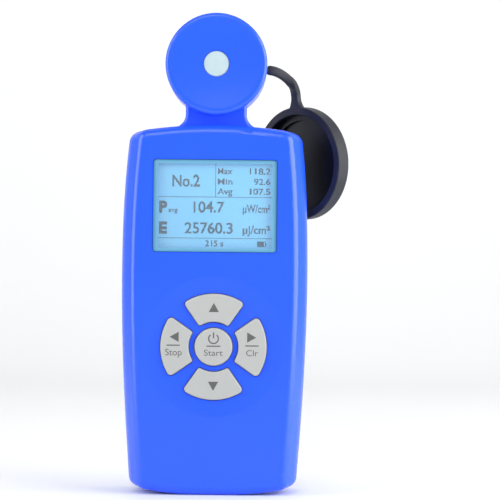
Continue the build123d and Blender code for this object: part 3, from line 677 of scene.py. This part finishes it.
class METER_OT_keys(Operator):
    """Finishes the five keys and prints their legends"""

    bl_idname = "meter.keys"
    bl_label = "Keys"

    def execute(self, context):
        wanted = context.scene.meter.key
        grey = moulded("key_satin", tuple(wanted.grey), 0.34, cloud=0.02)
        ink = printed("legend_ink", tuple(wanted.ink))
        for way in ("up", "down", "left", "right", "power"):
            dress(f"key_{way}", grey)

        def legend_word(text, middle_x, width, height):
            place = [middle_x - width / 2, KEYS_Z - 3.0 * MM]
            return word(text, width, height) + place

        ring = 13.4 * MM
        base, height = 3.5 * MM, 3.1 * MM
        arrow_z = KEYS_Z + 3.3 * MM
        bar_z = KEYS_Z + 0.45 * MM
        legends = {
            "up": [arrow(0, KEYS_Z + ring, 0, base, height)],
            "down": [arrow(0, KEYS_Z - ring, 180, base, height)],
            "left": [arrow(-ring, arrow_z, 90, base, height),
                     bar(-ring - 0.3 * MM, bar_z, 4.5 * MM, 0.42 * MM),
                     legend_word("Stop", -ring - 0.2 * MM, 5.6 * MM, 2.2 * MM)],
            "right": [arrow(ring - 0.4 * MM, arrow_z, -90, base, height),
                      bar(ring - 0.3 * MM, bar_z, 4.5 * MM, 0.42 * MM),
                      legend_word("Clr", ring - 0.2 * MM, 4.1 * MM, 2.0 * MM)],
            "power": [open_ring(0, KEYS_Z + 2.8 * MM, 1.65 * MM, 0.45 * MM, 80),
                      bar(0, KEYS_Z + 3.9 * MM, 0.45 * MM, 2.0 * MM),
                      bar(0, KEYS_Z + 0.24 * MM, 4.7 * MM, 0.42 * MM),
                      legend_word("Start", 0, 6.4 * MM, 2.0 * MM)],
        }
        for way, shapes in legends.items():
            legend = flat(f"legend_{way}", shapes, KEY_TOP_Y - PRINT_LIFT, ink)
            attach(legend, f"{way}_key")
        return {"FINISHED"}


class METER_OT_display(Operator):
    """Finishes the window and the lit display, and darkens the display's dots"""

    bl_idname = "meter.display"
    bl_label = "Display"

    def execute(self, context):
        wanted = context.scene.meter.display
        dress("lcd_window", window_clear("window_acrylic", tuple(wanted.border)))
        dress("lcd_glass", lit_display("display_light", tuple(wanted.sky)))

        screen = Screen(wanted.dot)
        screen.block(0.498, 0.0, 0.503, 0.39)
        screen.block(0.0, 0.388, 1.0, 0.395)
        screen.block(0.0, 0.874, 1.0, 0.881)
        screen.write(wanted.memory, 0.244, 0.269, 9.4 * MM, 3.9 * MM, 0.5)
        for text, reading, base in (
                ("Max", "118.2", 0.124), ("Min", "92.6", 0.246), ("Avg", "107.5", 0.362)):
            screen.write(text, 0.520, base, 5.1 * MM, 2.1 * MM)
            screen.write(reading, 0.983, base, len(reading) * 1.4 * MM, 2.1 * MM, 1.0)
        for text, small, reading, width, unit_text, base in (
                ("P", "avg", wanted.power, 10.6 * MM, "\u00b5W/cm\u00b2", 0.574),
                ("E", "", wanted.energy, 16.4 * MM, "\u00b5J/cm\u00b2", 0.822)):
            screen.write(text, 0.010, base, 2.8 * MM, 3.8 * MM, weight=0.06)
            if small:
                screen.write(small, 0.090, base, 3.3 * MM, 1.5 * MM)
            screen.write(reading, 0.446, base, width, 3.7 * MM, 0.5)
            screen.write(unit_text, 0.983, base, 9.3 * MM, 2.7 * MM, 1.0)
        screen.write("215 s", 0.496, 0.973, 6.2 * MM, 2.0 * MM, 0.5)
        screen.block(0.870, 0.916, 0.946, 0.923)
        screen.block(0.870, 0.968, 0.946, 0.975)
        screen.block(0.870, 0.916, 0.930, 0.975)
        screen.block(0.941, 0.916, 0.946, 0.975)
        screen.block(0.946, 0.934, 0.954, 0.957)

        ink = printed("display_dark", tuple(wanted.ink), 0.30)
        dots = flat("display_dots", [screen.squares()], GLASS_Y - PRINT_LIFT, ink)
        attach(dots, "meter")
        return {"FINISHED"}


class METER_OT_cap(Operator):
    """Finishes the rubber cap and builds its strap"""

    bl_idname = "meter.cap"
    bl_label = "Cap and strap"

    def execute(self, context):
        wanted = context.scene.meter.rubber
        skin = rubber("cap_rubber_skin", tuple(wanted.charcoal))
        dress("sensor_cap", skin)

        def on_cap(up):
            return CAP_CENTRE + unit(CAP_UP) * up - CAP_FACING * FOOT_BACK

        points = [HEAD_SIDE, STRAP_MIDDLE, on_cap(FOOT_END_UP), on_cap(CAP_R - 0.7 * MM)]
        outward = np.array([1.0, 0.0, 0.0])
        slope = even_slope(points[:3], outward, -unit(CAP_UP))
        line = curve_through(points, [outward, slope, -unit(CAP_UP), -unit(CAP_UP)], 24)
        rows = len(line)
        run = np.concatenate([[0], np.cumsum(np.linalg.norm(np.diff(line, axis=0), axis=1))])
        down = (line - on_cap(BEND_UP)) @ -unit(CAP_UP)
        near_foot = np.clip(down / (BEND_UP - CAP_R), 0, 1) * (np.arange(rows) > rows // 2)
        near_foot = near_foot**1.5

        shoulder = np.clip(run / SHOULDER_RUN, 0, 1) ** 0.5
        band_width = wanted.strap_width / 2 * (0.80 + 0.20 * shoulder) + near_foot * FOOT_FLARE
        band_depth = wanted.strap_thickness / 2 * (0.85 + 0.15 * shoulder)

        steps = len(PLUG_STEPS_X)
        plug = np.stack([PLUG_STEPS_X, np.full(steps, HEAD_SIDE[1]),
                         np.full(steps, HEAD_SIDE[2])], -1)
        plug[1:, 0] += np.arange(steps - 1) * ROW_SHIFT

        line = np.vstack([plug, line])
        turned = np.concatenate([np.zeros(steps), np.clip(run / run[-1] * 1.3 - 0.2, 0, 1)])
        turned = (turned**2 * (3 - 2 * turned))[:, None]
        facing = (1 - turned) * np.array([0.0, -1.0, 0.0]) + turned * CAP_FACING
        grid = swept(
            line, facing, np.concatenate([PLUG_STEPS_R, band_width]),
            np.concatenate([PLUG_STEPS_R, band_depth]),
            np.concatenate([np.ones(steps), 1.0 - 0.42 * shoulder]))
        strap = surface("strap", grid, skin, close_v=True, caps=(0, -1))
        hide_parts("cap_strap")
        tuple(on_cap(BEND_UP + 3.5 * MM))
        tuple(on_cap(BEND_UP - 0.7 * MM))
        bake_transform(strap)
        return {"FINISHED"}


class METER_OT_stage(Operator):
    """Builds the pale floor, the soft lights and the camera"""

    bl_idname = "meter.stage"
    bl_label = "Stage"

    def execute(self, context):
        wanted = context.scene.meter.stage
        scene = context.scene
        world = bpy.data.worlds.new("pale_room")
        world.use_nodes = True
        world.node_tree.nodes["Background"].inputs["Color"].default_value = (1, 1, 1, 1)
        world.node_tree.nodes["Background"].inputs["Strength"].default_value = 0.27
        scene.world = world
        scene.view_settings.view_transform = "Standard"

        sweep = np.linspace(0, math.pi / 2, 13)
        bend, back, reach = 0.30, 0.55, 0.9
        profile = np.vstack([
            [[-reach, 0.0]],
            np.stack([back + bend * np.sin(sweep), bend - bend * np.cos(sweep)], -1),
            [[back + bend, 1.4]]])
        across = np.array([-1.6, 1.6])
        grid = np.zeros((len(profile), 2, 3))
        grid[..., 0] = across[None, :]
        grid[..., 1] = profile[:, 0][:, None]
        grid[..., 2] = profile[:, 1][:, None]
        paper = Paint("pale_paper")
        pale = paper.surface(Base_Color=(0.80, 0.81, 0.82), Roughness=0.6)
        floor = surface("floor", grid[:, ::-1], pale)

        soft_light("top_light", (-0.12, -0.75, 0.62), (0.45, 0.45), 2.4)
        soft_light("left_light", (-0.52, -0.20, 0.22), (0.45, 0.6), 3.4)
        soft_light("right_light", (0.52, -0.18, 0.22), (0.70, 0.6), 6.5)
        soft_light("paper_light", (0.0, 0.30, 0.95), (1.4, 0.3), 4.6, aim=(0.0, 0.85, 0.40))

        camera = bpy.data.objects.new("camera", bpy.data.cameras.new("camera"))
        scene.collection.objects.link(camera)
        camera.location = (CAMERA_X, OUTLINE_Y - wanted.camera_distance, CAMERA_Z)
        camera.rotation_euler = (math.pi / 2, CAMERA_ROLL, 0)
        camera.data.sensor_width = SENSOR_WIDTH
        camera.data.lens = SENSOR_WIDTH * wanted.camera_distance / wanted.field
        camera.data.clip_start = 0.01
        scene.camera = camera
        return {"FINISHED"}


def soft_light(name, place, size, power, aim=(0.0, 0.0, 0.085)):
    """A rectangular soft light at a place, width by height, aimed at a point."""
    lamp = bpy.data.lights.new(name, "AREA")
    lamp.shape = "RECTANGLE"
    lamp.size, lamp.size_y = size
    lamp.energy = power
    holder = bpy.data.objects.new(name, lamp)
    bpy.context.scene.collection.objects.link(holder)
    holder.location = place
    holder.rotation_euler = (Vector(aim) - Vector(place)).to_track_quat("-Z", "Y").to_euler()
    return holder


# ------------------------------------------------------------------ panel
OPERATORS = (METER_OT_stage, METER_OT_case, METER_OT_inside, METER_OT_head, METER_OT_keys,
             METER_OT_display, METER_OT_cap)


class METER_PT_panel(Panel):
    """Lists the operators that build the meter's pieces"""

    bl_idname = "METER_PT_panel"
    bl_label = "Light meter"
    bl_space_type = "VIEW_3D"
    bl_region_type = "UI"
    bl_category = "Light meter"

    def draw(self, context):
        column = self.layout.column()
        for operator in OPERATORS:
            column.operator(operator.bl_idname)


CLASSES = (CaseSettings, RubberSettings, KeySettings, DisplaySettings, StageSettings,
           MeterSettings, *OPERATORS, METER_PT_panel)


def register():
    for made in CLASSES:
        bpy.utils.register_class(made)
    bpy.types.Scene.meter = PointerProperty(type=MeterSettings)


def unregister():
    del bpy.types.Scene.meter
    for made in reversed(CLASSES):
        bpy.utils.unregister_class(made)


def main():
    """Registers the add-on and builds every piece."""
    register()
    bpy.ops.meter.stage()
    bpy.ops.meter.case()
    bpy.ops.meter.inside()
    bpy.ops.meter.head()
    bpy.ops.meter.keys()
    bpy.ops.meter.display()
    bpy.ops.meter.cap()


if __name__ == "__main__":
    main()
